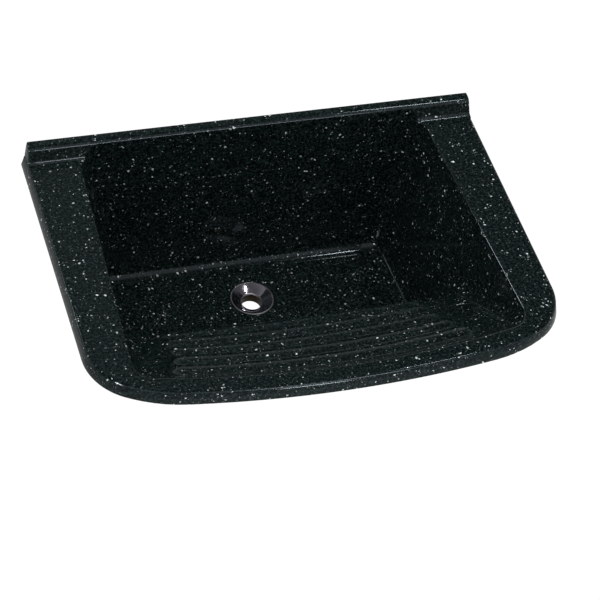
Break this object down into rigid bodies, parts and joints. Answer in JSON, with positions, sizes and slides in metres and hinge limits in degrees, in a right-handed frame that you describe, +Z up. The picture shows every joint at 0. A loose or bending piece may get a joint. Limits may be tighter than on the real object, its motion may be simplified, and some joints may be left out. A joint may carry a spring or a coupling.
{
  "type": "laundry sink",
  "caption": "Wall-hung cast laundry sink with wide side ledges, a low rear upstand, a deep bowl, a sloped ribbed washboard and a dished waste in the floor.",
  "frame": {"origin": "middle of the sink's width, on the wall face, at the level of the deck's top", "axes": "+X across to the right as the user faces the wall, +Y into the wall, +Z up"},
  "size_m": [0.608, 0.4406, 0.2652],
  "materials": {
    "basin_stone": "polished black with white flecks",
    "waste_chrome": "polished",
    "seal_rubber": "matte",
    "washer_plastic": "smooth",
    "nut_brass": "machined"
  },
  "bodies": {
    "root": {"basin": "basin_stone", "waste_body": "waste_chrome", "flange_seal": "seal_rubber", "floor_gasket": "seal_rubber", "friction_washer": "washer_plastic", "backnut": "nut_brass"}
  },
  "joints": []
}
